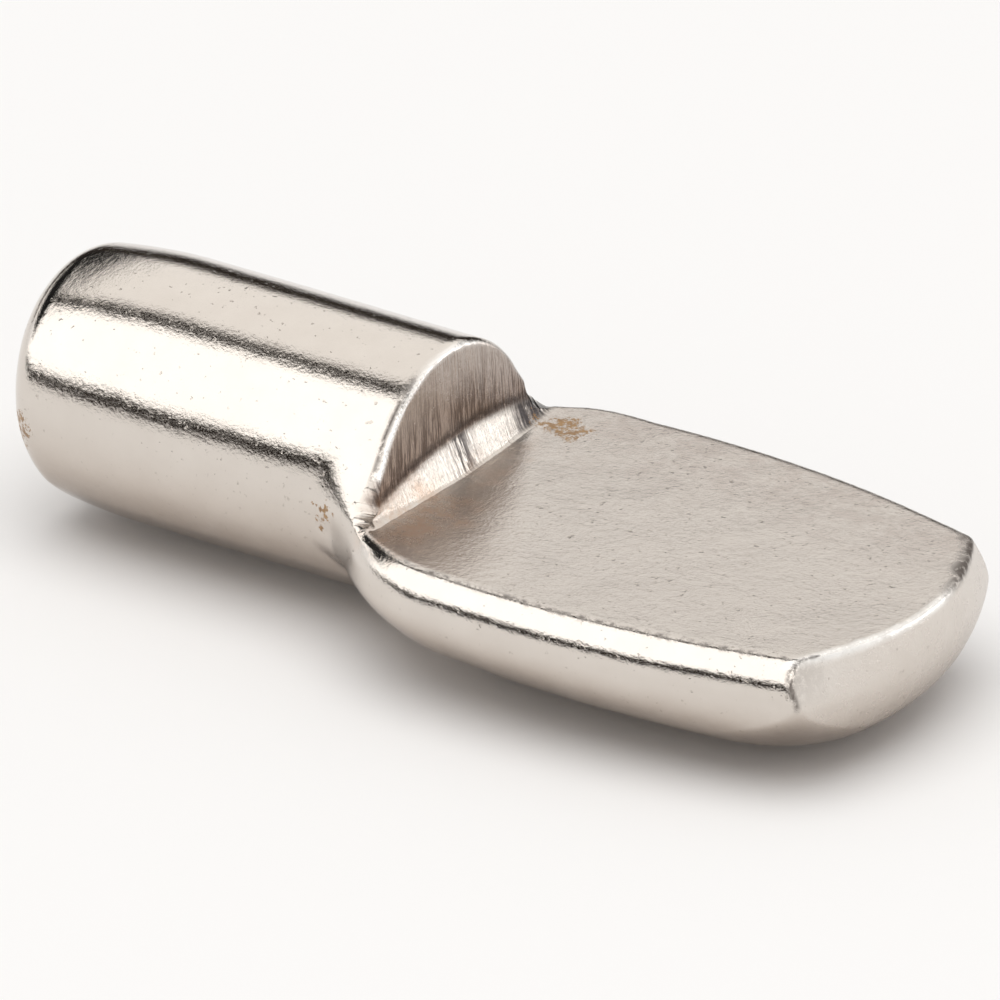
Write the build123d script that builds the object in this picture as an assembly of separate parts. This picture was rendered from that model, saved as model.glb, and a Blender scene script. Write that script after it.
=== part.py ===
from build123d import *

# Shelf support pin, spoon pattern: one piece of round steel rod, cold formed and nickel plated.
#
# One half of the rod stays round and plugs into a drilled hole in the side of a cabinet. The other half
# is pressed under a flat punch into a spoon, whose top is the seat that the shelf rests on. The metal
# that the punch displaces swells out sideways, so the spoon is wider than the rod and its sides are
# rolled.
#
# Millimetres. +X runs along the rod's axis from the plug towards the spoon's tip, and +Z is the way the
# seat faces. The origin is on the rod's axis, where the plug's straight wall ends and the spoon's flare
# starts to swell: that is as far as the plug goes into its hole. The sizes below count from the step,
# which stands a little further along.

import math
import os

# The round plug.
pin_radius = 3.14
pin_length = 10.36  # from the step to the middle of the plugged end
lead_length = 3.10  # the plugged end draws in along an arc over this length
lead_radius = 16.0  # of that arc, which starts tangent to the straight wall
nose_round = 0.80  # corner of the plugged end
shear_lean = 5.0  # degrees that the sheared end leans, its top nearer to the step

# The seat as seen from above.
spoon_length = 12.95  # from the step to the crown of the tip
seat_height = 0.10  # above the rod's axis
seat_half_width = 4.61  # at its widest station
widest_station = 4.46
side_bow_radius = 27.2  # of the long edges
tip_crown_radius = 8.90  # of the end face

# The flare, where the spoon's sides swell out of the rod, while the rod itself is drawn a little thinner.
flare_start = -1.05
flare_end = 2.60
side_power = 2.1  # how steeply the sides leave the rod
side_sink = 0.15  # how far inside the rod's surface they start
keel_power = 1.2  # the same two sizes for the underside, which swells later
keel_sink = 1.50
root_draw = 0.08  # how much radius the rod has lost at the flare's end

# The spoon's section: rolled side, short upright wall, elliptical flank and flat keel.
roll_radius = 1.17  # of the side, from the seat's edge down to the widest line
seat_edge_angle = 52.0  # degrees that the roll leans up from horizontal where it meets the seat
root_wall = 0.05  # height of the upright wall, at the flare's end
tip_wall = 0.20  # and at the tip
root_keel_width = 1.30  # of the flat under the spoon, at the flare's end
tip_keel_width = 3.00  # and at the tip
keel_drop = 0.28  # how much lower than the rod the underside lies at the tip
section_count = 30  # even steps between the sections that the spoon is lofted through

# The marks of the punch, seen from the side.
step_lean = 3.0  # degrees that the step's face leans back
band_height = 0.64  # of the bevel at the foot of the step
band_lean = 27.0  # degrees that the bevel leans back

# The end of the tip, seen from the side.
belly_depth = 0.90  # from the seat down to the end face's foremost line
belly_radius = 4.00  # of the end face above that line
heel_length = 2.30  # of the quarter ellipse from that line to the underside

# Rounds.
corner_round = 0.90  # of the lower corners, between the heel and the flanks
step_round = 0.15  # of the step's curved edge
seat_round = 0.08  # of the seat's own edge


def sagitta(radius, half_chord):
    """How far an arc falls away from its tangent at half_chord from the point of contact."""
    return radius - math.sqrt(radius**2 - half_chord**2)


roll_bulge = roll_radius * (1 - math.cos(math.radians(seat_edge_angle)))
roll_drop = roll_radius * math.sin(math.radians(seat_edge_angle))
tip_depth = pin_radius + keel_drop
belly_z = seat_height - belly_depth
heel_x = spoon_length - heel_length - sagitta(tip_crown_radius, seat_half_width)
above = 2 * pin_radius  # clear of the whole part


def blend(at_root, at_tip, x):
    """A size of the section that runs evenly from the flare's end to the tip."""
    share = (x - flare_end) / (spoon_length - flare_end)
    return at_root + (at_tip - at_root) * max(share, 0)


def flare(full, sink, power, x):
    """A size that swells from inside the rod's surface to its full value at the flare's end."""
    start = pin_radius - sink
    growth = 1 - (max(flare_end - x, 0) / (flare_end - flare_start)) ** power
    return start + (full - start) * growth


def half_width(x):
    """Half the width over the rolled sides: bowed along the blade, flared at its root."""
    bow = sagitta(side_bow_radius, max(x, flare_end) - widest_station)
    return flare(seat_half_width + roll_bulge - bow, side_sink, side_power, x)


def blank_section(x):
    """The closed section of the swollen blank at x, before the punch flattens its top."""
    half = half_width(x)
    roll_y = half - roll_radius
    roll_z = seat_height - roll_drop
    wall_z = roll_z - blend(root_wall, tip_wall, x)
    keel_y = blend(root_keel_width, tip_keel_width, x) / 2
    keel_z = -flare(blend(pin_radius, tip_depth, x), keel_sink, keel_power, x)
    flank_width = half - keel_y
    flank_depth = wall_z - keel_z
    top_z = roll_z + roll_radius
    edges = [
        Line((-roll_y, top_z), (roll_y, top_z)),
        CenterArc((roll_y, roll_z), roll_radius, 90, -90),
        Line((half, roll_z), (half, wall_z)),
        EllipticalCenterArc((keel_y, wall_z), flank_width, flank_depth, 0, arc_size=-90),
        Line((keel_y, keel_z), (-keel_y, keel_z)),
        EllipticalCenterArc((-keel_y, wall_z), flank_width, flank_depth, 270, arc_size=-90),
        Line((-half, wall_z), (-half, roll_z)),
        CenterArc((-roll_y, roll_z), roll_radius, 180, -90),
    ]
    across = Plane(origin=(x, 0, 0), x_dir=(0, 1, 0), z_dir=(1, 0, 0))
    return across * make_face(edges)


def make_blank():
    """The swollen half of the rod, before the punch, running a little past the tip."""
    length = spoon_length + pin_radius / 2 - flare_start
    stations = [flare_start + length * step / section_count for step in range(section_count + 1)]
    return loft([blank_section(x) for x in stations])


def make_pin():
    """The round plug, drawn in along an arc and sheared off; it runs on into the spoon's root."""
    lead_start = lead_length - pin_length
    past_end = pin_length + nose_round
    past_lead = past_end - pin_length + lead_length
    profile = [
        Line((-past_end, 0), (flare_end, 0)),
        Line((flare_end, 0), (flare_end, pin_radius - root_draw)),
        Line((flare_end, pin_radius - root_draw), (flare_start, pin_radius)),
        Line((flare_start, pin_radius), (lead_start, pin_radius)),
        ThreePointArc(
            (lead_start, pin_radius),
            (lead_start - past_lead / 2, pin_radius - sagitta(lead_radius, past_lead / 2)),
            (-past_end, pin_radius - sagitta(lead_radius, past_lead)),
        ),
        Line((-past_end, pin_radius - sagitta(lead_radius, past_lead)), (-past_end, 0)),
    ]
    rod = revolve(make_face(profile), Axis.X)
    offcut = Box(above, above * 2, above * 2, align=(Align.MAX, Align.CENTER, Align.CENTER))
    sheared = rod - Pos(-pin_length, 0, 0) * Rot(0, shear_lean, 0) * offcut
    end_edges = sheared.faces().sort_by(Axis.X)[0].edges()
    return fillet(end_edges, nose_round)


def make_punch():
    """All that the punch takes away: above the seat, and ahead of the step and its bevel."""
    band_top = seat_height + band_height
    band_x = (pin_radius - band_top) * math.tan(math.radians(step_lean))
    crease_x = band_x + band_height * math.tan(math.radians(band_lean))
    past_tip = spoon_length + above
    profile = Polyline(
        (0, above),
        (0, pin_radius),
        (band_x, band_top),
        (crease_x, seat_height),
        (past_tip, seat_height),
        (past_tip, above),
        close=True,
    )
    return extrude(Plane.XZ * make_face(profile), above, both=True)


def make_beyond_tip():
    """What is trimmed away past the end face, which is turned about the centre of the tip's crown."""
    heel_depth = tip_depth + belly_z
    heel_start = tip_crown_radius - heel_length
    edge_x = tip_crown_radius - sagitta(belly_radius, belly_depth)
    outline = [
        Line((0, -tip_depth), (heel_start, -tip_depth)),
        EllipticalCenterArc((heel_start, belly_z), heel_length, heel_depth, 270, arc_size=90),
        RadiusArc((tip_crown_radius, belly_z), (edge_x, seat_height), -belly_radius),
        Line((edge_x, seat_height), (edge_x, above)),
        Line((edge_x, above), (0, above)),
        Line((0, above), (0, -tip_depth)),
    ]
    turned = revolve(Plane.XZ * make_face(outline), Axis.Z)
    reach = Box(above * 3, above * 3, above * 3, align=(Align.MIN, Align.CENTER, Align.CENTER))
    return Pos(spoon_length - tip_crown_radius, 0, 0) * (reach - turned)


def corner_edges(part):
    """The lower corners of the tip: where the heel cuts the flanks, clear of the keel."""
    low = part.edges().filter_by_position(Axis.Z, -above, belly_z)
    clear = [edge for edge in low if abs(edge.center().Y) > tip_keel_width / 2]
    return [edge for edge in clear if edge.bounding_box().min.X > heel_x and edge.length > roll_radius]


def step_edges(part):
    """The curved edge of the step and of the bevel below it."""
    ahead = part.edges().filter_by_position(Axis.X, -step_round, flare_end)
    high = ahead.filter_by_position(Axis.Z, seat_height + roll_radius / 5, pin_radius)
    return high.filter_by(GeomType.LINE, reverse=True)


def seat_edges(part):
    """The outline of the seat, without the straight crease at the step's foot."""
    return [edge for edge in part.edges() if is_level(edge) and edge.geom_type != GeomType.LINE]


def is_level(edge):
    """Whether an edge lies in the plane of the seat."""
    box = edge.bounding_box()
    return abs(box.min.Z - seat_height) < seat_round / 2 and abs(box.max.Z - seat_height) < seat_round / 2


def make_support_pin():
    """The whole part."""
    part = make_pin() + make_blank() - make_punch() - make_beyond_tip()
    part = part.fillet(corner_round, corner_edges(part))
    part = part.fillet(step_round, step_edges(part))
    part = part.fillet(seat_round, seat_edges(part))
    return Pos(-flare_start, 0, 0) * part


os.makedirs("parts", exist_ok=True)
export_step(make_support_pin(), "parts/shelf_support_pin.step")
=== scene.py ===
"""Looks of the shelf support pin.

A dense nickel-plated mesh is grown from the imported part: its CAD mesh is remeshed evenly and each point is
then moved onto the same form written as signed distances, with slight wear. A floor, long light cards, one
lamp and the camera follow.
"""
import math

import bpy
import numpy as np
from mathutils import Matrix, Vector

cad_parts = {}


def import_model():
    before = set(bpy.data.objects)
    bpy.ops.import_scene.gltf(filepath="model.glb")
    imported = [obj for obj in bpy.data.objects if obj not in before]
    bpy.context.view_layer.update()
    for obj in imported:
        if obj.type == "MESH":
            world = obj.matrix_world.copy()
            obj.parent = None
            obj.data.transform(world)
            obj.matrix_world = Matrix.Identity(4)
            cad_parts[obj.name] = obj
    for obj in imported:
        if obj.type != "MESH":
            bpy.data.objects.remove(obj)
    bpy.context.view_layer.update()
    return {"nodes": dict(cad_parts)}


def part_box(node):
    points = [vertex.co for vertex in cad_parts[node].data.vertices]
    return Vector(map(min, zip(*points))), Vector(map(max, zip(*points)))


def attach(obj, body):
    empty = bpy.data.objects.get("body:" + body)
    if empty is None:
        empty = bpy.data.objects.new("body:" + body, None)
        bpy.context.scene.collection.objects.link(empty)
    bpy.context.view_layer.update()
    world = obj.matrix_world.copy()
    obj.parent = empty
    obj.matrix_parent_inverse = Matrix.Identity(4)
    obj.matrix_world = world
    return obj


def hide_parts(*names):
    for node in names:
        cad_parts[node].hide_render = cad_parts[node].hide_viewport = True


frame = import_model()

MM = 0.001
NODE = "shelf_support_pin"
cad_low = np.array(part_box(NODE)[0]) / MM

# The part's form in millimetres. X counts from the step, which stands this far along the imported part's X.
STEP_AT = 1.05
PIN_RADIUS = 3.14
TIP_X = 12.95
TIP_Z = cad_low[2]
NOSE_X = -10.36
NOSE_LEAN = math.radians(5.0)
NOSE_ROUND = 0.85
LEAD_START = -7.26
LEAD_RADIUS = 16.0
LEAD_LIMIT = 6.0

SEAT_Z = 0.10
SEAT_HALF_WIDTH = 4.61
WIDEST_X = 4.46
SIDE_BOW_RADIUS = 27.2
CROWN_RADIUS = 8.90
TIP_SETBACK = 0.50
SETBACK_ZONE = (-1.1, SEAT_Z)

FLARE_START = -1.05
FLARE_END = 2.60
SIDE_SINK = 0.15
SIDE_POWER = 2.1
KEEL_SINK = 1.50
KEEL_POWER = 1.2
FAR_SWELL = 0.24
FAR_SWELL_ACROSS = (0.0, 1.5)
FAR_SWELL_ALONG = (0.3, FLARE_END)
BLANK_FADE = 0.8

ROLL_RADIUS = 1.17
SEAT_EDGE_ANGLE = math.radians(52.0)
ROOT_WALL, TIP_WALL = 0.05, 0.20
ROOT_KEEL, TIP_KEEL = 0.65, 1.50
ROLL_BULGE = ROLL_RADIUS * (1 - math.cos(SEAT_EDGE_ANGLE))
ROLL_Z = SEAT_Z - ROLL_RADIUS * math.sin(SEAT_EDGE_ANGLE)

STEP_LEAN = math.radians(3.0)
BAND_MIDDLE = 0.3
BAND_REACH = 3.7
BAND_LOW, BAND_RISE = 0.25, 0.58
CREASE_X, CREASE_BULGE = 0.20, 0.30
RAMP_RISE, RAMP_LENGTH = 0.02, 0.5

BELLY_Z = SEAT_Z - 0.90
BELLY_RADIUS = 4.0
HEEL_LENGTH = 2.3

# Rounds and coves. Each zone is where the larger size comes in, from none to full.
BAND_TOP_ROUND, CREASE_ROUND = 0.05, 0.06
SEAT_ROUND, STEP_EXTRA_ROUND, STEP_ZONE = 0.07, 0.09, (0.2, 1.0)
KEEL_COVE = 0.25
WALL_COVE, WALL_ZONE = 0.50, (-2.2, -0.5)
SHOULDER_COVE, SHOULDER_ZONE = 0.50, (-0.6, 0.3)
TIP_ROUND, HEEL_ROUND, HEEL_ZONE = 0.09, 1.2, (-0.9, -2.3)

# Wear: height in millimetres, size of its noise and its seed.
WAVES = ((0.009, 2.6, 11), (0.004, 0.8, 12))
DRAG_MARKS = ((0.010, 0.16, 13), (0.014, 0.45, 14))
DRAG_ALONG, DRAG_UP = 0.3, 0.10

# The cut faces' region: pairs are from none to full.
STEP_STARTS, STEP_FOOT, INSIDE = (-0.06, 0.0), (0.08, 0.2), (0.02, 0.12)
CREASE_MARGIN, CREASE_SLANT, CREASE_FADE = 0.10, 0.12, 0.1

VOXEL = 0.0835
SETTLE_STEPS = 5
LONGEST_MOVE = 0.12
LEAST_SLOPE = 0.25
SLOPE_STEP = 0.004


# ---------------------------------------------------------------- noise

# Large odd multipliers of an integer hash, and the bits that it keeps.
LATTICE_PRIMES = (374761393, 668265263, 2147483647)
SEED_PRIME = 974634777
STIRS = ((13, 1274126177), (16, 2246822519))
LAST_SHIFT, WORD, KEPT = 15, 0xFFFFFFFF, 0xFFFFFF


def hashed(ix, iy, iz, seed):
    """A repeatable value from 0 to 1 for each whole-number lattice point."""
    h = sum(i * prime for i, prime in zip((ix, iy, iz), LATTICE_PRIMES)) + seed * SEED_PRIME & WORD
    for shift, prime in STIRS:
        h = ((h ^ (h >> shift)) * prime) & WORD
    return ((h ^ (h >> LAST_SHIFT)) & KEPT) / float(KEPT)


def value_noise(points, size, seed):
    """Smooth noise from -1 to 1 whose features are about size across."""
    scaled = points / size
    cell = np.floor(scaled).astype(np.int64)
    part = scaled - cell
    part = part * part * (3 - 2 * part)
    total = np.zeros(len(points))
    for dx in (0, 1):
        for dy in (0, 1):
            for dz in (0, 1):
                corner = hashed(cell[:, 0] + dx, cell[:, 1] + dy, cell[:, 2] + dz, seed)
                near = np.abs(1 - np.array([dx, dy, dz]) - part)
                weight = near[:, 0] * near[:, 1] * near[:, 2]
                total += corner * weight
    return total * 2 - 1


# ---------------------------------------------------------------- the form, as signed distances

def sagitta(radius, half_chord):
    return radius - np.sqrt(np.maximum(radius * radius - half_chord * half_chord, 1e-6))


def smooth_step(low, high, value):
    share = np.clip((value - low) / (high - low), 0, 1)
    return share * share * (3 - 2 * share)


def both(a, b, r):
    """Inside both solids, with the edge between them rounded to radius r."""
    return np.minimum(np.maximum(a, b), -r) + np.hypot(np.maximum(a + r, 0), np.maximum(b + r, 0))


def either(a, b, r):
    """Inside either solid, with the inner corner between them filled to radius r."""
    return np.maximum(np.minimum(a, b), r) - np.hypot(np.maximum(r - a, 0), np.maximum(r - b, 0))


def ellipse(u, v, a, b):
    """Distance outside an ellipse, near its surface."""
    k = np.hypot(u / a, v / b)
    slope = np.hypot(u / (a * a), v / (b * b))
    return k * (k - 1) / np.maximum(slope, 1e-6)


def plug(x, y, z):
    lead = np.maximum(LEAD_START - x, 0)
    wall = np.hypot(y, z) - (PIN_RADIUS - sagitta(LEAD_RADIUS, np.minimum(lead, LEAD_LIMIT)))
    end = (NOSE_X - x) * math.cos(NOSE_LEAN) - z * math.sin(NOSE_LEAN)
    return np.maximum(both(wall, end, NOSE_ROUND), x - FLARE_END)


def flare(full, sink, power, x):
    start = PIN_RADIUS - sink
    left = np.clip((FLARE_END - x) / (FLARE_END - FLARE_START), 0, 1)
    return start + (full - start) * (1 - left ** power)


def half_width(x, y):
    """Half width of the spoon's roll at its widest; the far side swells a little earlier."""
    bow = sagitta(SIDE_BOW_RADIUS, np.maximum(x, FLARE_END) - WIDEST_X)
    swell = FAR_SWELL * smooth_step(*FAR_SWELL_ACROSS, y) * (1 - smooth_step(*FAR_SWELL_ALONG, x))
    return flare(SEAT_HALF_WIDTH + ROLL_BULGE - bow, SIDE_SINK, SIDE_POWER, x) + swell


def blank(x, y, z):
    """The swollen spoon before the punch: rolled sides, short wall, elliptical flank and flat keel."""
    share = np.clip((x - FLARE_END) / (TIP_X - FLARE_END), 0, 1.1)
    half = half_width(x, y)
    wall_z = ROLL_Z - (ROOT_WALL + (TIP_WALL - ROOT_WALL) * share)
    keel_y = ROOT_KEEL + (TIP_KEEL - ROOT_KEEL) * share
    keel_z = -flare(PIN_RADIUS + (-TIP_Z - PIN_RADIUS) * share, KEEL_SINK, KEEL_POWER, x)
    side = np.abs(y)
    upper = np.hypot(np.maximum(side - half + ROLL_RADIUS, 0), np.maximum(z - ROLL_Z, 0)) - ROLL_RADIUS
    upper = np.where(side < half - ROLL_RADIUS, np.maximum(z - ROLL_Z, 0) - ROLL_RADIUS, upper)
    upper = np.where(z < ROLL_Z, side - half, upper)
    lower = ellipse(np.maximum(side - keel_y, 0), wall_z - z, half - keel_y, wall_z - keel_z)
    return np.where(z > wall_z, upper, lower) + BLANK_FADE * np.maximum(FLARE_START - x, 0)


def arch(y):
    """1 at the middle of the bevel at the step's foot, 0 at its ends."""
    return np.clip(1 - ((y - BAND_MIDDLE) / BAND_REACH) ** 2, 0, 1)


def band_top(y):
    return SEAT_Z + BAND_LOW + BAND_RISE * arch(y)


def crease(y):
    return CREASE_X + CREASE_BULGE * arch(y)


def kept_by_punch(x, y, z):
    """Below the seat, or behind the step and the arched bevel at its foot."""
    step = (x - (PIN_RADIUS - z) * math.tan(STEP_LEAN)) * math.cos(STEP_LEAN)
    top, foot = band_top(y), crease(y)
    run = foot - (PIN_RADIUS - top) * math.tan(STEP_LEAN)
    slant = np.hypot(run, top - SEAT_Z)
    band = ((x - foot) * (top - SEAT_Z) + (z - SEAT_Z) * run) / slant
    ramp = RAMP_RISE * (1 - smooth_step(0, RAMP_LENGTH, x - foot))
    return either(either(step, band, BAND_TOP_ROUND), z - SEAT_Z - ramp, CREASE_ROUND)


def beyond_crown(x, y, z):
    """Reach from the centre of the tip's crown; the seat's end stands further back toward its corners."""
    back = x + TIP_SETBACK * (y / SEAT_HALF_WIDTH) ** 2 * smooth_step(*SETBACK_ZONE, z)
    return back, np.hypot(np.maximum(back - TIP_X + CROWN_RADIUS, 0), y)


def kept_by_tip(x, y, z):
    """Behind the end face and the heel, which are turned about the centre of the tip's crown."""
    back, out = beyond_crown(x, y, z)
    upper = np.hypot(np.maximum(out - CROWN_RADIUS + BELLY_RADIUS, 0), z - BELLY_Z) - BELLY_RADIUS
    heel_reach = np.maximum(out - CROWN_RADIUS + HEEL_LENGTH, 0)
    heel = ellipse(heel_reach, BELLY_Z - z, HEEL_LENGTH, BELLY_Z - TIP_Z)
    tip = np.where(z > BELLY_Z, upper, heel)
    return np.where(back > TIP_X - CROWN_RADIUS, tip, -1.0)


def uncut(x, y, z):
    """Plug and spoon before the punch, with the coved flare between them."""
    cove = KEEL_COVE + WALL_COVE * smooth_step(*WALL_ZONE, z)
    cove += SHOULDER_COVE * smooth_step(*SHOULDER_ZONE, z)
    return either(plug(x, y, z), blank(x, y, z), cove)


def form(points):
    x, y, z = points.T
    edge = SEAT_ROUND + STEP_EXTRA_ROUND * (1 - smooth_step(*STEP_ZONE, x))
    body = both(uncut(x, y, z), kept_by_punch(x, y, z), edge)
    corner = TIP_ROUND + HEEL_ROUND * smooth_step(*HEEL_ZONE, z)
    return both(body, kept_by_tip(x, y, z), corner)


def step_share(x, y, z):
    """1 on the step's face and the bevel at its foot, 0 elsewhere."""
    line = crease(y) + CREASE_MARGIN + (SEAT_Z - z) * CREASE_SLANT
    along = smooth_step(*STEP_STARTS, x) * (1 - smooth_step(line, line + CREASE_FADE, x))
    return along * smooth_step(*STEP_FOOT, z) * smooth_step(*INSIDE, -uncut(x, y, z))


def summed_noise(points, layers):
    return sum(height * value_noise(points, size, seed) for height, size, seed in layers)


def wear(points):
    """How far the surface stands off the drawn form: slow waves, small dents and the punch's drag marks."""
    x, y, z = points.T
    stretched = np.stack([x * DRAG_ALONG, y, z * DRAG_UP], 1)
    return summed_noise(points, WAVES) + step_share(x, y, z) * summed_noise(stretched, DRAG_MARKS)


def surface(points):
    return form(points) - wear(points)


def gradient(points, h=SLOPE_STEP):
    result = np.empty_like(points)
    for axis in range(3):
        shift = np.zeros(3)
        shift[axis] = h
        result[:, axis] = (form(points + shift) - form(points - shift)) / (2 * h)
    return result


# ---------------------------------------------------------------- the mesh

def remeshed_cad():
    """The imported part's mesh, remeshed to even voxels."""
    source = frame["nodes"][NODE]
    piece = bpy.data.objects.new("nickel_shelf_pin", source.data.copy())
    bpy.context.collection.objects.link(piece)
    remesh = piece.modifiers.new("even", "REMESH")
    remesh.mode = "VOXEL"
    remesh.voxel_size = VOXEL * MM
    depsgraph = bpy.context.evaluated_depsgraph_get()
    mesh = bpy.data.meshes.new_from_object(piece.evaluated_get(depsgraph))
    piece.modifiers.clear()
    piece.data = mesh
    return piece


def settle(piece):
    """Moves each point of the remeshed part onto the drawn surface, and returns the points."""
    mesh = piece.data
    flat = np.empty(len(mesh.vertices) * 3)
    mesh.vertices.foreach_get("co", flat)
    shift = np.array([STEP_AT, 0, 0])
    points = flat.reshape(-1, 3) / MM - shift
    for _ in range(SETTLE_STEPS):
        slope = gradient(points)
        size = np.maximum((slope ** 2).sum(1), LEAST_SLOPE)
        move = -(surface(points) / size)[:, None] * slope
        length = np.linalg.norm(move, axis=1, keepdims=True)
        points += move * np.minimum(1, LONGEST_MOVE / np.maximum(length, 1e-9))
    mesh.vertices.foreach_set("co", ((points + shift) * MM).ravel())
    mesh.polygons.foreach_set("use_smooth", np.ones(len(mesh.polygons), dtype=bool))
    mesh.update()
    return points


def paint(piece, name, values):
    """Stores one value a point for the material."""
    layer = piece.data.attributes.new(name, "FLOAT", "POINT")
    layer.data.foreach_set("value", np.clip(values, 0, 1).astype(np.float32))


# Regions of the surface, in millimetres. A pair is where a mark goes from none to full, except that a
# noise is the size of its features and its seed.
SEAT_UP, SEAT_LEVEL, AFTER_CREASE = (0.90, 0.99), (-0.1, 0.03), 0.25
FAR_SIDE, FAR_SIDE_RAGGED, FAR_SIDE_NOISE = (0.5, 3.8), 0.6, (1.3, 39)
SIDE_LINE, SIDE_LINE_LEVEL = (0.02, 0.12), (-0.15, 0.02)
SIDE_LINE_STARTS, SIDE_LINE_ENDS = (0.8, 1.6), (11.4, 11.8)

BAND_EDGE, FOOT_FADE = (-0.05, 0.05), (0.2, 1.9)
# Painted shade: where the dark line in the corner above the bevel lies.
CORNER_SHADE_ABOVE, CORNER_SHADE_RAGGED, CORNER_SHADE_WIDTH, CORNER_SHADE_NOISE = 0.10, 0.06, 0.14, (0.3, 37)
BAND_FAR_END, BAND_FAR_SHADE = (2.1, 2.7), 0.9
STREAK_Y, STREAK_WIDTH, FAR_STREAKS = 0.1, 0.45, (1.9, 2.7)
ARC_FOOT, ARC_NEAR, ARC_TOP = (0.3, 0.6), (-1.6, -0.9), (0.6, 1.8)
OUTLINE_BEHIND, OUTLINE_RAGGED, OUTLINE_WIDTH, OUTLINE_NOISE = 0.15, 0.03, 0.055, (0.3, 40)
LIP_BEHIND, LIP_WIDTH, LIP_DEPTH = 0.02, 0.05, (0.08, 0.2)

NEAR_TIP, END_AHEAD = (9.0, 11.0), (0.45, 0.8)
RIM_INSET, RIM_EDGE, RIM_LEVEL, RIM_LINE_LEVEL = 0.12, 0.06, (-0.12, 0.05), (-0.15, 0.0)
RIM_WIDTH, RIM_FAR_EXTRA, RIM_WIDENS = 0.22, 0.16, (0.5, 2.5)
RIM_NEAR_SHARE, RIM_DARKENS = 0.12, (0.5, 2.0)
RIM_JITTER = ((0.10, 0.35, 31), (0.04, 0.11, 38))
CORNER_AHEAD, CORNER_WIDTH, CORNER_LEVEL, CORNER_Y = 0.6, 0.16, (-1.1, -0.8), -3.2
LINE_WIDTH, LINE_JITTER, LINE_ENDS = 0.09, 0.5, (0.5, 1.8)

SPOT_CORE, SPOT_GRAIN = 0.25, 0.35
# Painted shade on surfaces facing down, by how far they face down.
UNDERSIDE = (-0.15, 0.85)


def bell(value, width):
    """1 where value is 0, falling off on both sides over about width."""
    return np.exp(-(value / width) ** 2)


def spot(points, centre, size, ragged, seed):
    """1 at centre, fading to 0 over size (a triple), with a ragged outline."""
    far = np.sqrt((((points - np.array(centre)) / np.array(size)) ** 2).sum(1))
    return 1 - smooth_step(SPOT_CORE, 1.0, far + ragged * value_noise(points, SPOT_GRAIN, seed))


def mark_seat(piece, points, up):
    """The seat's face, its worn far side and the brown line along its long edges."""
    x, y, z = points.T
    after_crease = smooth_step(crease(y), crease(y) + AFTER_CREASE, x)
    on_seat = smooth_step(*SEAT_UP, up) * after_crease * smooth_step(*SEAT_LEVEL, z)
    paint(piece, "seat", on_seat)
    ragged_y = y + FAR_SIDE_RAGGED * value_noise(points, *FAR_SIDE_NOISE)
    paint(piece, "far_side", on_seat * smooth_step(*FAR_SIDE, ragged_y))
    off_edge = np.abs(np.abs(y) - half_width(x, y) + ROLL_BULGE)
    side_edge = (1 - smooth_step(*SIDE_LINE, off_edge)) * smooth_step(*SIDE_LINE_LEVEL, z)
    side_edge *= smooth_step(*SIDE_LINE_STARTS, x) * (1 - smooth_step(*SIDE_LINE_ENDS, x))
    paint(piece, "side_edge", side_edge)


def mark_step(piece, points):
    """The step's face and bevel, with painted shade in the corner above the bevel, at its far end, in
    streaks on the bevel and toward the foot; returns the arc's dark outline and a painted highlight along
    the arc.
    """
    x, y, z = points.T
    on_step = step_share(x, y, z)
    over = z - band_top(y)
    on_band = on_step * (1 - smooth_step(*BAND_EDGE, over))
    # Painted shade: a dark line in the inner corner above the bevel, with painted shade at the bevel's far
    # end too.
    corner_shade = on_step * bell(over - CORNER_SHADE_ABOVE + CORNER_SHADE_RAGGED * value_noise(points, *CORNER_SHADE_NOISE), CORNER_SHADE_WIDTH)
    far_shade = BAND_FAR_SHADE * on_band * smooth_step(*BAND_FAR_END, y)
    paint(piece, "step", on_step)
    paint(piece, "band", on_band)
    # Painted shade: this layer darkens the step's face more toward its foot.
    paint(piece, "foot", on_step * (1 - smooth_step(*FOOT_FADE, over)))
    paint(piece, "corner_shade", np.maximum(corner_shade, far_shade))
    # Painted shade: where dark streaks along the bevel's grooves lie.
    streak_shade = np.maximum(bell(y - STREAK_Y, STREAK_WIDTH), smooth_step(*FAR_STREAKS, y))
    paint(piece, "streak_shade", on_band * streak_shade)

    ahead_of_step = x - (PIN_RADIUS - z) * math.tan(STEP_LEAN)
    above_foot = smooth_step(*ARC_FOOT, z)
    ragged = OUTLINE_RAGGED * value_noise(points, *OUTLINE_NOISE)
    outline = bell(ahead_of_step + OUTLINE_BEHIND + ragged, OUTLINE_WIDTH)
    outline *= above_foot * (1 - smooth_step(*ARC_NEAR, y))
    # Painted highlight: a bright line on the arc just behind the step's face.
    lip_highlight = bell(ahead_of_step + LIP_BEHIND, LIP_WIDTH) * above_foot * (1 - smooth_step(*ARC_TOP, y))
    lip_highlight *= 1 - smooth_step(*LIP_DEPTH, -uncut(x, y, z))
    return outline, lip_highlight


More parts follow.
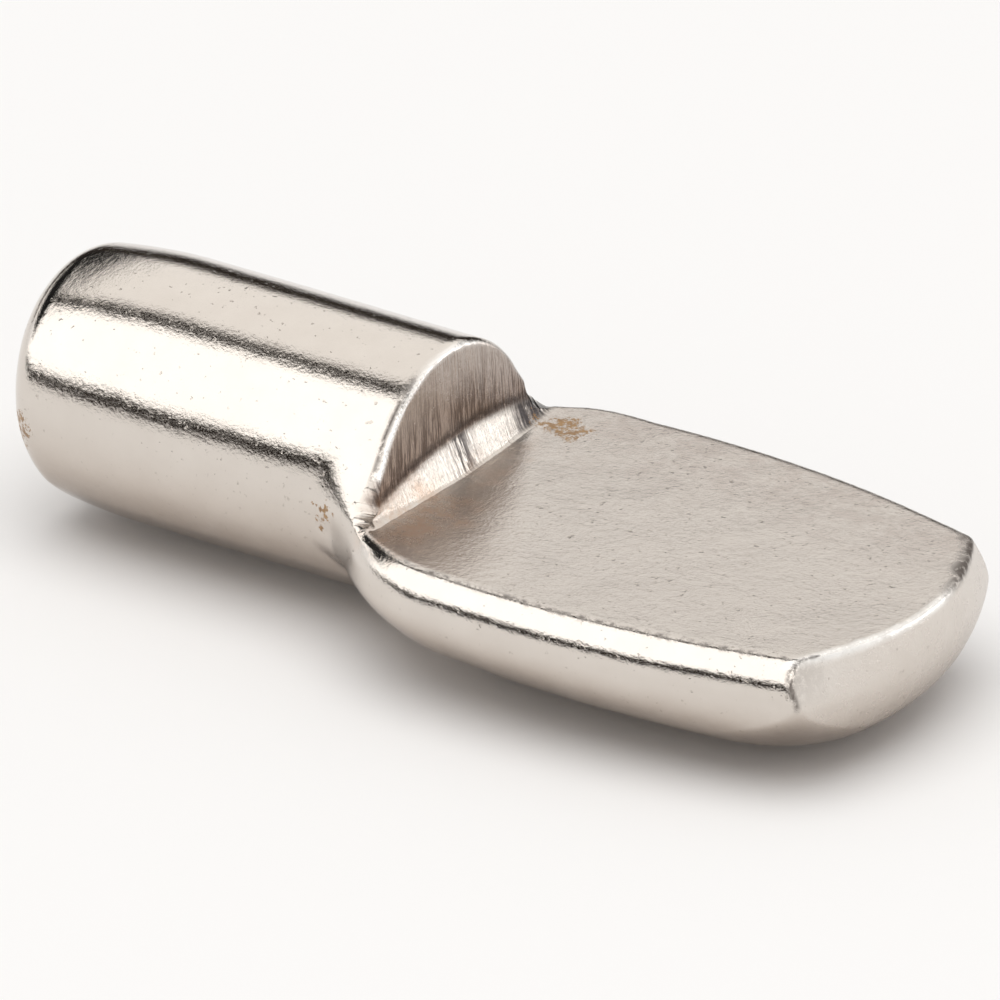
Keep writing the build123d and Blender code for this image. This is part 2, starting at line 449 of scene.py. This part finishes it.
def mark_tip(piece, points, ahead):
    """The end face; returns the dark cracked rim with its near corner, and a painted highlight along the
    rim.
    """
    x, y, z = points.T
    near_tip = smooth_step(*NEAR_TIP, x)
    paint(piece, "end", smooth_step(*END_AHEAD, ahead) * near_tip)
    off_rim = np.abs(beyond_crown(x, y, z)[1] - CROWN_RADIUS + RIM_INSET)
    jitter = summed_noise(points, RIM_JITTER)
    rim_width = RIM_WIDTH + RIM_FAR_EXTRA * smooth_step(*RIM_WIDENS, y)
    rim = (1 - smooth_step(RIM_EDGE, rim_width, off_rim + jitter)) * smooth_step(*RIM_LEVEL, z) * near_tip
    rim *= RIM_NEAR_SHARE + (1 - RIM_NEAR_SHARE) * smooth_step(*RIM_DARKENS, y)
    corner = bell(ahead - CORNER_AHEAD, CORNER_WIDTH) * smooth_step(*CORNER_LEVEL, z) * (y < CORNER_Y)
    # Painted highlight: a bright line along the end face's rim.
    line = bell(off_rim + LINE_JITTER * jitter, LINE_WIDTH) * smooth_step(*RIM_LINE_LEVEL, z) * near_tip
    line *= 1 - smooth_step(*LINE_ENDS, y)
    return np.maximum(rim, corner * near_tip), line


def mark_stains(piece, points):
    """Brown haze by the crease, rust at the far crease and the nose, specks by the near shoulder."""
    haze = 0.9 * spot(points, centre=(0.95, -2.5, SEAT_Z), size=(1.3, 2.4, 1.0), ragged=0.25, seed=32)
    haze_middle = 0.45 * spot(points, centre=(0.9, 0.3, SEAT_Z), size=(0.6, 2.6, 1.0), ragged=0.25, seed=33)
    rust = spot(points, centre=(1.25, 3.15, SEAT_Z), size=(1.3, 0.9, 1.0), ragged=0.3, seed=34)
    nose_rust = spot(points, centre=(-9.85, -2.75, -0.45), size=(0.8, 0.8, 0.8), ragged=0.3, seed=35)
    paint(piece, "haze", np.maximum(haze, haze_middle))
    paint(piece, "rust", np.maximum(rust, nose_rust))
    specks = spot(points, centre=(-1.15, -3.1, -0.05), size=(0.8, 0.8, 0.9), ragged=0.35, seed=36)
    paint(piece, "specks", specks)


def mark_regions(piece, points):
    """Stores where each finish, stain, painted shade and painted highlight lies; the material reads these
    layers by name.
    """
    slope = gradient(points)
    slope /= np.linalg.norm(slope, axis=1, keepdims=True)
    up, ahead = slope[:, 2], slope[:, 0]
    mark_seat(piece, points, up)
    outline, lip_highlight = mark_step(piece, points)
    rim, line = mark_tip(piece, points, ahead)
    mark_stains(piece, points)
    paint(piece, "rim", np.maximum(rim, outline))
    # Painted highlights along the end face's rim and along the step's arc.
    paint(piece, "painted_highlight", np.maximum(line, lip_highlight))
    # Painted shade on surfaces that face down.
    paint(piece, "under", smooth_step(*UNDERSIDE, -up))


# ---------------------------------------------------------------- material

MARKS = ("seat", "far_side", "side_edge", "step", "band", "foot", "corner_shade", "streak_shade",
         "end", "rim", "painted_highlight", "under", "haze", "rust", "specks")

NICKEL_DEEP, NICKEL_PALE = (0.645, 0.592, 0.540, 1), (0.725, 0.675, 0.622, 1)
# The pits' own dark, and the near-white of the painted highlight.
PIT, PAINTED_HIGHLIGHT = (0.25, 0.21, 0.17, 1), (0.97, 0.95, 0.92, 1)
# The torn face's own colour, and painted shade for the dark grooves across it.
STEP_FACE, GROOVE_SHADE = (0.31, 0.232, 0.195, 1), (0.095, 0.062, 0.048, 1)
# Painted shade: a dark line for the corner above the bevel, and dark streaks for the bevel's grooves.
CORNER_SHADE, STREAK_SHADE = (0.05, 0.034, 0.028, 1), (0.045, 0.038, 0.038, 1)
SEAT_FACE, WORN = (0.50, 0.46, 0.425, 1), (0.47, 0.41, 0.37, 1)
# Painted shade for surfaces that face down, and the brown haze stain.
UNDER_SHADE, HAZE = (0.37, 0.295, 0.24, 1), (0.56, 0.33, 0.19, 1)
RUST_DARK, RUST_LIGHT = (0.14, 0.06, 0.018, 1), (0.48, 0.27, 0.085, 1)
CRACK = (0.045, 0.028, 0.019, 1)


class Graph:
    """A material's node tree, with short calls for the few node kinds used here."""

    def __init__(self, name):
        self.material = bpy.data.materials.new(name)
        self.material.use_nodes = True
        self.tree = self.material.node_tree
        self.shader = self.tree.nodes["Principled BSDF"]
        self.place = self.node("ShaderNodeTexCoord").outputs["Object"]

    def node(self, kind, **settings):
        made = self.tree.nodes.new(kind)
        for key, value in settings.items():
            setattr(made, key, value)
        return made

    def put(self, socket, value):
        if isinstance(value, bpy.types.NodeSocket):
            self.tree.links.new(value, socket)
        else:
            socket.default_value = value

    def math(self, operation, a, b=0.0, clamp=False):
        made = self.node("ShaderNodeMath", operation=operation, use_clamp=clamp)
        self.put(made.inputs[0], a)
        self.put(made.inputs[1], b)
        return made.outputs[0]

    def layer(self, name):
        return self.node("ShaderNodeAttribute", attribute_name=name).outputs["Fac"]

    def noise(self, size_mm, detail=3.0, rough=0.55, stretch=(1, 1, 1), offset=0.0):
        """Noise whose features are about size_mm across, drawn out by stretch along each axis."""
        fit = self.node("ShaderNodeMapping")
        self.put(fit.inputs["Vector"], self.place)
        scale = 1 / (size_mm * MM)
        fit.inputs["Scale"].default_value = [scale / s for s in stretch]
        fit.inputs["Location"].default_value = (offset, offset * 1.7, offset * 0.6)
        made = self.node("ShaderNodeTexNoise")
        self.put(made.inputs["Vector"], fit.outputs[0])
        made.inputs["Scale"].default_value = 1.0
        made.inputs["Detail"].default_value = detail
        made.inputs["Roughness"].default_value = rough
        return made.outputs["Fac"]

    def ramp(self, value, low, high):
        made = self.node("ShaderNodeMapRange", interpolation_type="SMOOTHSTEP")
        self.put(made.inputs["Value"], value)
        made.inputs["From Min"].default_value = low
        made.inputs["From Max"].default_value = high
        return made.outputs[0]

    def mix(self, factor, a, b):
        made = self.node("ShaderNodeMix", data_type="RGBA")
        self.put(made.inputs["Factor"], factor)
        self.put(made.inputs["A"], a)
        self.put(made.inputs["B"], b)
        return made.outputs["Result"]

    def wash(self, colour, tint, share, *others):
        """Lays tint over colour by the product of the shares."""
        for other in others:
            share = self.math("MULTIPLY", share, other)
        return self.mix(share, colour, tint)

    def more(self, value, share, amount, clamp=False):
        """value plus amount of share."""
        return self.math("ADD", value, self.math("MULTIPLY", share, amount), clamp)

    def bump(self, height, distance_mm, below=None):
        made = self.node("ShaderNodeBump")
        made.inputs["Distance"].default_value = distance_mm * MM
        self.put(made.inputs["Height"], height)
        if below is not None:
            self.put(made.inputs["Normal"], below)
        return made.outputs[0]


def base_colour(g, marks, coarse):
    """Nickel with pits, the torn step face, worn zones, painted shade on the step and on surfaces facing
    down, and painted highlights on edges.
    """
    seat, step, foot = marks["seat"], marks["step"], marks["foot"]
    mottle, pits, grooves, broad = coarse["mottle"], coarse["pits"], coarse["grooves"], coarse["broad"]
    colour = g.wash(g.mix(mottle, NICKEL_DEEP, NICKEL_PALE), PIT, pits, 0.35)

    face = g.math("SUBTRACT", step, g.math("MULTIPLY", marks["band"], 0.9), clamp=True)
    # The torn face's own colour, laid on more thickly toward the foot as painted shade.
    colour = g.wash(colour, STEP_FACE, face, g.more(0.50, foot, 0.28))
    # Painted shade in the torn face's grooves, deeper toward the foot.
    groove_shade = g.ramp(g.more(grooves, broad, 0.35), low=0.735, high=0.625)
    colour = g.wash(colour, GROOVE_SHADE, groove_shade, face, g.more(0.20, foot, 0.68))
    # Painted shade in the corner above the bevel and at its far end.
    ragged = g.ramp(g.noise(size_mm=0.16, detail=4.0, rough=0.7, offset=15.0), low=0.25, high=0.50)
    colour = g.wash(colour, CORNER_SHADE, marks["corner_shade"], ragged, 0.9)
    # Painted shade in streaks along the bevel's grooves.
    streak_shade_mask = g.ramp(g.more(grooves, broad, 0.6), low=0.92, high=0.76)
    colour = g.wash(colour, STREAK_SHADE, marks["streak_shade"], streak_shade_mask)

    colour = g.wash(colour, SEAT_FACE, seat, 0.35)
    patches = g.ramp(g.noise(size_mm=0.7, detail=6.0, rough=0.75, offset=17.0), low=0.30, high=0.75)
    colour = g.wash(colour, WORN, marks["far_side"], patches, 0.70)
    clouds = g.ramp(g.noise(size_mm=1.1, detail=5.0, rough=0.7, offset=19.0), low=-0.60, high=0.90)
    # Painted shade, in clouds, on surfaces that face down.
    colour = g.wash(colour, UNDER_SHADE, marks["under"], clouds, 0.95)
    # Painted highlight along the rim and the arc.
    return g.wash(colour, PAINTED_HIGHLIGHT, marks["painted_highlight"], 0.9)


def stained(g, marks, colour):
    """Haze, rust, specks and dark edges over colour; returns the colour, the haze and the stains."""
    haze_cloud = g.ramp(g.noise(size_mm=0.5, detail=6.0, rough=0.8, offset=2.2), low=0.30, high=0.65)
    haze = g.math("MULTIPLY", marks["haze"], haze_cloud)
    colour = g.wash(colour, HAZE, haze, 0.60)

    rust_grain = g.noise(size_mm=0.11, detail=4.0, rough=0.75, offset=9.4)
    rust = g.ramp(g.more(rust_grain, marks["rust"], 0.34), low=0.74, high=0.86)
    speck_grain = g.noise(size_mm=0.17, detail=3.0, rough=0.6, offset=4.6)
    specks = g.ramp(g.more(speck_grain, marks["specks"], 0.34), low=0.84, high=0.92)
    stain = g.math("MAXIMUM", rust, specks)
    tint = g.mix(g.noise(size_mm=0.2, detail=3.0, rough=0.6, offset=8.8), RUST_DARK, RUST_LIGHT)
    colour = g.wash(colour, tint, stain, 0.92)

    rim_grain = g.ramp(g.noise(size_mm=0.20, detail=5.0, rough=0.75, offset=6.3), low=0.34, high=0.52)
    edge_grain = g.ramp(g.noise(size_mm=0.25, detail=4.0, rough=0.7, offset=18.0), low=0.42, high=0.66)
    side_edge = g.math("MULTIPLY", g.math("MULTIPLY", marks["side_edge"], edge_grain), 0.8)
    rim = g.math("MAXIMUM", g.math("MULTIPLY", marks["rim"], rim_grain), side_edge)
    colour = g.wash(colour, CRACK, rim, 0.92)
    return colour, haze, g.math("MAXIMUM", stain, rim)


def roughness(g, marks, mottle, haze, stain):
    rough = g.more(0.05, mottle, 0.05)
    for name, extra in (("seat", 0.13), ("end", 0.20), ("step", 0.10)):
        rough = g.more(rough, marks[name], extra)
    dull = g.math("MAXIMUM", stain, g.math("MULTIPLY", haze, 0.5))
    return g.more(rough, dull, 0.30, clamp=True)


def relief(g, marks, grain, coarse):
    """Fine waves and grain all over, pits, and the seat's, end face's and step's own texture."""
    seat_grain = g.noise(size_mm=0.26, detail=5.0, rough=0.7, offset=11.0)
    end_grain = g.noise(size_mm=0.40, detail=5.0, rough=0.8, offset=13.0)
    torn = g.math("ADD", coarse["grooves"], coarse["broad"])
    normal = g.bump(g.noise(size_mm=0.55, detail=3.0, rough=0.6, offset=5.5), distance_mm=0.0060)
    normal = g.bump(grain, distance_mm=0.0058, below=normal)
    normal = g.bump(g.math("MULTIPLY", coarse["pits"], -1.0), distance_mm=0.0035, below=normal)
    normal = g.bump(g.math("MULTIPLY", seat_grain, marks["seat"]), distance_mm=0.0100, below=normal)
    normal = g.bump(g.math("MULTIPLY", end_grain, marks["end"]), distance_mm=0.025, below=normal)
    return g.bump(g.math("MULTIPLY", torn, marks["step"]), distance_mm=0.020, below=normal)


def nickel():
    g = Graph("nickel_plate")
    marks = {name: g.layer(name) for name in MARKS}
    grain = g.noise(size_mm=0.10, detail=4.0, rough=0.65)
    coarse = {
        "mottle": g.noise(size_mm=0.9, detail=4.0, rough=0.6, offset=3.1),
        "pits": g.ramp(g.noise(size_mm=0.16, detail=2.0, rough=0.6, offset=7.7), low=0.66, high=0.74),
        "grooves": g.noise(size_mm=0.055, detail=3.0, rough=0.7, stretch=(8, 1, 16), offset=1.3),
        "broad": g.noise(size_mm=0.30, detail=2.0, rough=0.5, stretch=(6, 1, 8), offset=5.9),
    }
    colour, haze, stain = stained(g, marks, base_colour(g, marks, coarse))
    g.put(g.shader.inputs["Base Color"], colour)
    g.put(g.shader.inputs["Metallic"], g.math("SUBTRACT", 1.0, g.math("MULTIPLY", stain, 0.8)))
    g.put(g.shader.inputs["Roughness"], roughness(g, marks, coarse["mottle"], haze, stain))
    g.put(g.shader.inputs["Normal"], relief(g, marks, grain, coarse))
    return g.material


pin = remeshed_cad()
pin_points = settle(pin)
mark_regions(pin, pin_points)
pin.data.materials.clear()
pin.data.materials.append(nickel())
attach(pin, "root")
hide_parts(NODE)


# ---------------------------------------------------------------- stage

# Metres from here on. Long cards about the X axis: name, start and end in degrees up from the front,
# how far along X, colour and strength. The gaps between lit cards give the plating its dark lines.
CARD_RADIUS, CARD_START, FAR_END, SHORT_END, CARD_STEP = 0.60, -3, 1, 0.1, 4
GAP_BROWN, GAP_TAN = (1, 0.80, 0.68), (1, 0.82, 0.70)
ROUND_CARDS = (
    ("front_softbox", 13, 80, FAR_END, (1.0, 0.99, 0.975), 1.7),
    ("front_gap", -3, 13, FAR_END, GAP_BROWN, 0.025),
    ("top_gap", 80, 92, FAR_END, GAP_BROWN, 0.025),
    ("top_card", 92, 157, FAR_END, (1.0, 0.98, 0.955), 1.13),
    ("back_gap", 157, 180, SHORT_END, GAP_TAN, 0.035),
)
# Upright cards that face the object: name, centre, width, height and strength.
FLAT_CARDS = (
    ("left_flag", (-0.55, 0.25, 0.42), 1.0, 0.50, 0.015),
    ("right_glow", (0.5, 0.57, 0.09), 0.5, 0.20, 2.6),
)
WHITE = (1, 1, 1)
FLOOR_REACH, FLOOR_DROP = 3, 0.00002
FLOOR_COLOUR, FLOOR_ROUGHNESS = (0.92, 0.905, 0.89, 1), 0.9
FILL = 0.64
LAMP_PLACE, LAMP_SIZE, LAMP_ENERGY = (0.05, -0.15, 0.8), 1.0, 3.9


def emission(name, colour, strength):
    material = bpy.data.materials.new(name)
    material.use_nodes = True
    nodes = material.node_tree.nodes
    nodes.clear()
    lamp = nodes.new("ShaderNodeEmission")
    lamp.inputs["Color"].default_value = (*colour, 1)
    lamp.inputs["Strength"].default_value = strength
    out = nodes.new("ShaderNodeOutputMaterial")
    material.node_tree.links.new(lamp.outputs[0], out.inputs["Surface"])
    return material


def stand(name, verts, faces, material):
    """Puts a mesh of the stage in the scene."""
    mesh = bpy.data.meshes.new(name)
    mesh.from_pydata(verts, [], faces)
    mesh.materials.append(material)
    obj = bpy.data.objects.new(name, mesh)
    bpy.context.collection.objects.link(obj)
    return obj


def seen_in_reflections_only(obj):
    obj.visible_camera = False
    obj.visible_shadow = False
    obj.visible_diffuse = False


def round_card(name, start, end, far, colour, strength):
    """A long curved card about the X axis, between two angles up from the front, as far along X as far."""
    steps = max(2, int(abs(end - start) / CARD_STEP) + 1)
    angles = np.radians(np.linspace(start, end, steps))
    arc = [(-CARD_RADIUS * math.cos(a), CARD_RADIUS * math.sin(a)) for a in angles]
    verts = [(x, y, z) for x in (CARD_START, far) for y, z in arc]
    faces = [(i, i + 1, steps + i + 1, steps + i) for i in range(steps - 1)]
    seen_in_reflections_only(stand(name, verts, faces, emission(name, colour, strength)))


def flat_card(name, centre, across, tall, strength):
    """An upright card at centre that faces the object, across metres wide and tall metres high."""
    side = Vector((-centre[1], centre[0], 0)).normalized() * (across / 2)
    rise = Vector((0, 0, tall / 2))
    middle = Vector(centre)
    corners = [middle - side - rise, middle + side - rise, middle + side + rise, middle - side + rise]
    verts = [tuple(c) for c in corners]
    seen_in_reflections_only(stand(name, verts, [(0, 1, 2, 3)], emission(name, WHITE, strength)))


def floor():
    material = bpy.data.materials.new("pale_floor")
    material.use_nodes = True
    shader = material.node_tree.nodes["Principled BSDF"]
    shader.inputs["Base Color"].default_value = FLOOR_COLOUR
    shader.inputs["Roughness"].default_value = FLOOR_ROUGHNESS
    shader.inputs["Specular IOR Level"].default_value = 0.0
    z, r = cad_low[2] * MM - FLOOR_DROP, FLOOR_REACH
    stand("floor", [(-r, -r, z), (r, -r, z), (r, r, z), (-r, r, z)], [(0, 1, 2, 3)], material)


def world():
    """White to the camera and in reflections, and a softer fill on matt surfaces."""
    w = bpy.data.worlds.new("studio")
    bpy.context.scene.world = w
    w.use_nodes = True
    tree = w.node_tree
    path = tree.nodes.new("ShaderNodeLightPath")
    seen = path.outputs["Is Camera Ray"]
    for ray in ("Is Glossy Ray", "Is Transmission Ray"):
        either_ray = tree.nodes.new("ShaderNodeMath")
        either_ray.operation = "MAXIMUM"
        tree.links.new(seen, either_ray.inputs[0])
        tree.links.new(path.outputs[ray], either_ray.inputs[1])
        seen = either_ray.outputs[0]
    strength = tree.nodes.new("ShaderNodeMapRange")
    tree.links.new(seen, strength.inputs["Value"])
    strength.inputs["To Min"].default_value = FILL
    strength.inputs["To Max"].default_value = 1.0
    background = tree.nodes["Background"]
    background.inputs["Color"].default_value = (1, 1, 1, 1)
    tree.links.new(strength.outputs[0], background.inputs["Strength"])


def overhead_lamp():
    data = bpy.data.lights.new("overhead", "AREA")
    data.shape = "DISK"
    data.size = LAMP_SIZE
    data.energy = LAMP_ENERGY
    lamp = bpy.data.objects.new("overhead", data)
    lamp.location = LAMP_PLACE
    lamp.rotation_euler = Vector(LAMP_PLACE).to_track_quat("Z", "Y").to_euler()
    lamp.visible_glossy = False
    bpy.context.collection.objects.link(lamp)


floor()
world()
overhead_lamp()
for settings in ROUND_CARDS:
    round_card(*settings)
for settings in FLAT_CARDS:
    flat_card(*settings)

# ---------------------------------------------------------------- camera

# Places in the view are in units of the plug's radius, as the camera was fitted.
UNIT = 3.1155 * MM
AZIMUTH, ELEVATION = math.radians(33.41), math.radians(26.79)
AIM_ALONG, AIM_LEFT, AIM_DOWN, CAMERA_AWAY = 0.55, 0.0889, 0.0660, 166.7
SENSOR, LENS, CLIP_START = 36, 825, 0.01


def camera():
    right = Vector((math.cos(AZIMUTH), math.sin(AZIMUTH), 0))
    up = Vector((-math.sin(ELEVATION) * math.sin(AZIMUTH), math.sin(ELEVATION) * math.cos(AZIMUTH),
                 math.cos(ELEVATION)))
    back = right.cross(up)
    target = Vector((STEP_AT * MM, 0, 0)) + Vector((AIM_ALONG, 0, 0)) * UNIT
    target -= right * (AIM_LEFT * UNIT) + up * (AIM_DOWN * UNIT)
    data = bpy.data.cameras.new("camera")
    data.sensor_width = SENSOR
    data.lens = LENS
    data.clip_start = CLIP_START
    obj = bpy.data.objects.new("camera", data)
    bpy.context.collection.objects.link(obj)
    turn = Matrix((right, up, back)).transposed().to_4x4()
    obj.matrix_world = Matrix.Translation(target + back * (CAMERA_AWAY * UNIT)) @ turn
    bpy.context.scene.camera = obj


camera()
bpy.context.scene.view_settings.view_transform = "Standard"
